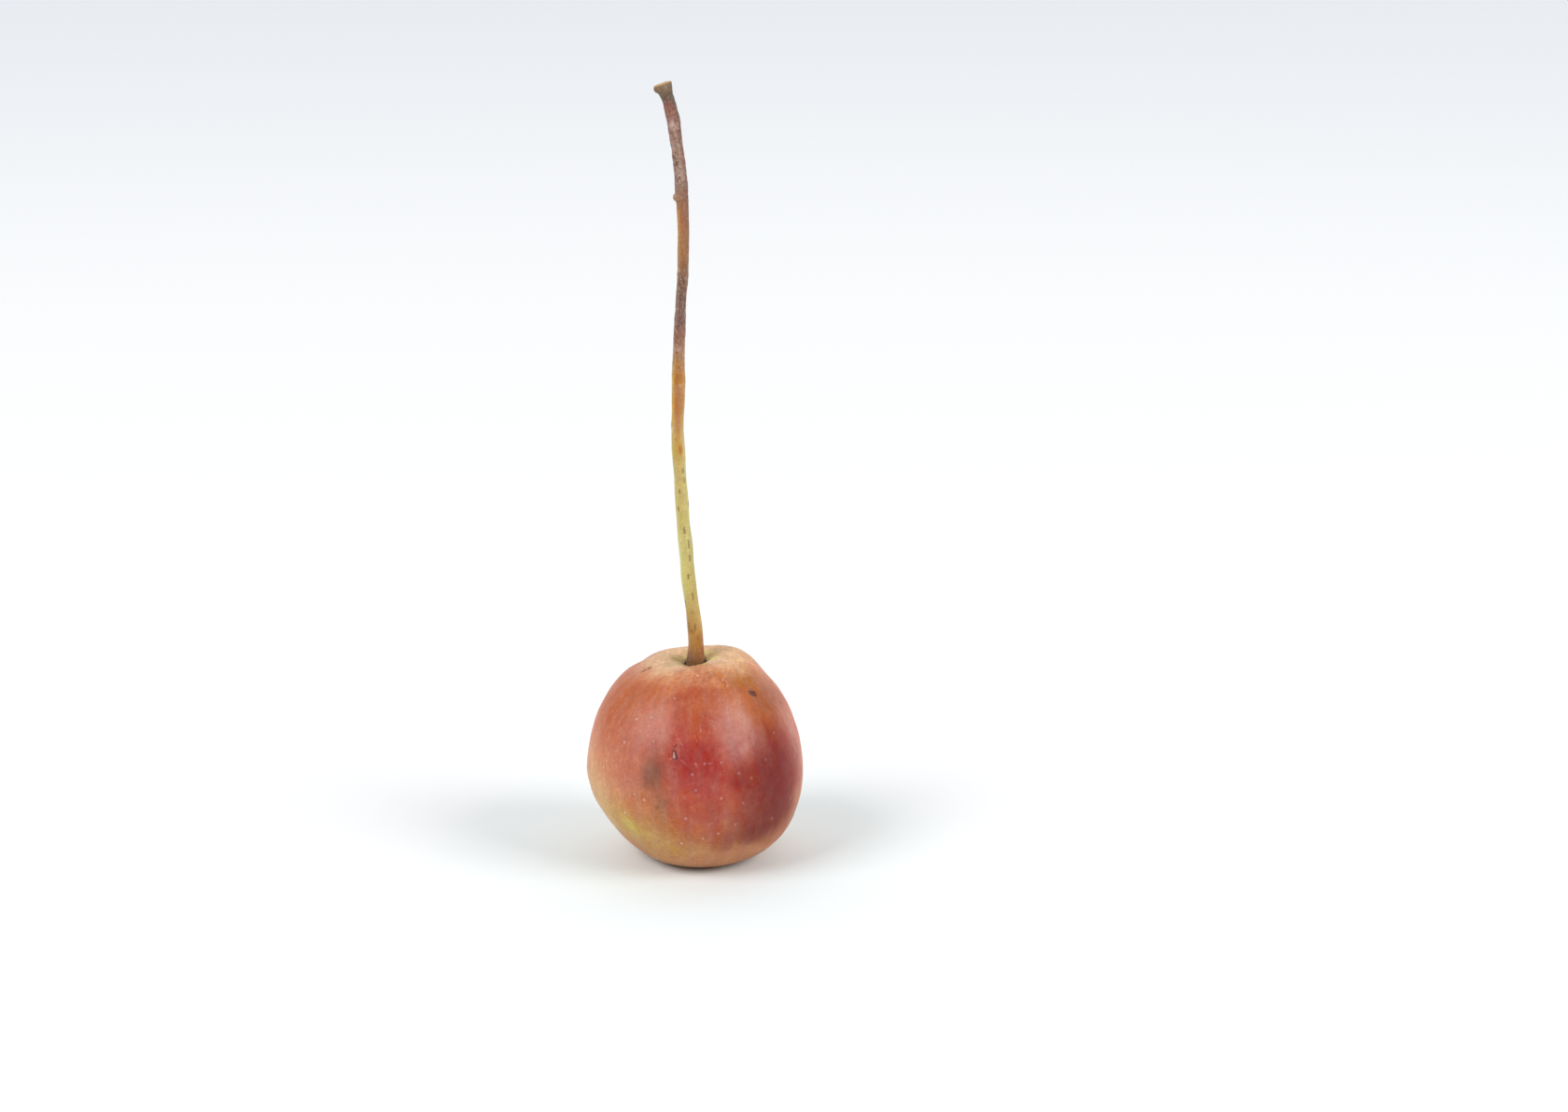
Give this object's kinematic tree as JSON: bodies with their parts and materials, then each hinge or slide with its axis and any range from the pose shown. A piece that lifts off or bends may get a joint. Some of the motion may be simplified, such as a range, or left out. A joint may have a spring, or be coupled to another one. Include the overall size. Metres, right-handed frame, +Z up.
{
  "type": "crab apple",
  "caption": "Small ripe crab apple with a long slender stem, standing upright on the flat ring round its withered eye.",
  "frame": {"origin": "on the surface that the fruit stands on, under the middle of the fruit", "axes": "+Z up along the fruit's core axis and its stem, +X towards the side where the rim round the stem is highest, away from the side that the stem's tip leans to"},
  "size_m": [0.0182, 0.0182, 0.0657],
  "materials": {
    "skin": "waxy fruit skin, deep red blush over orange and yellow-green, low gloss",
    "stem_bark": "thin dry bark, red-brown above to yellow-green below, matte",
    "dry_sepal": "withered brown sepals, matte and downy",
    "dry_stamen": "dry dark brown filaments, matte"
  },
  "bodies": {
    "root": {"fruit": "skin", "stem": "stem_bark", "calyx": "dry_sepal", "stamen_tuft": "dry_stamen"}
  },
  "joints": []
}
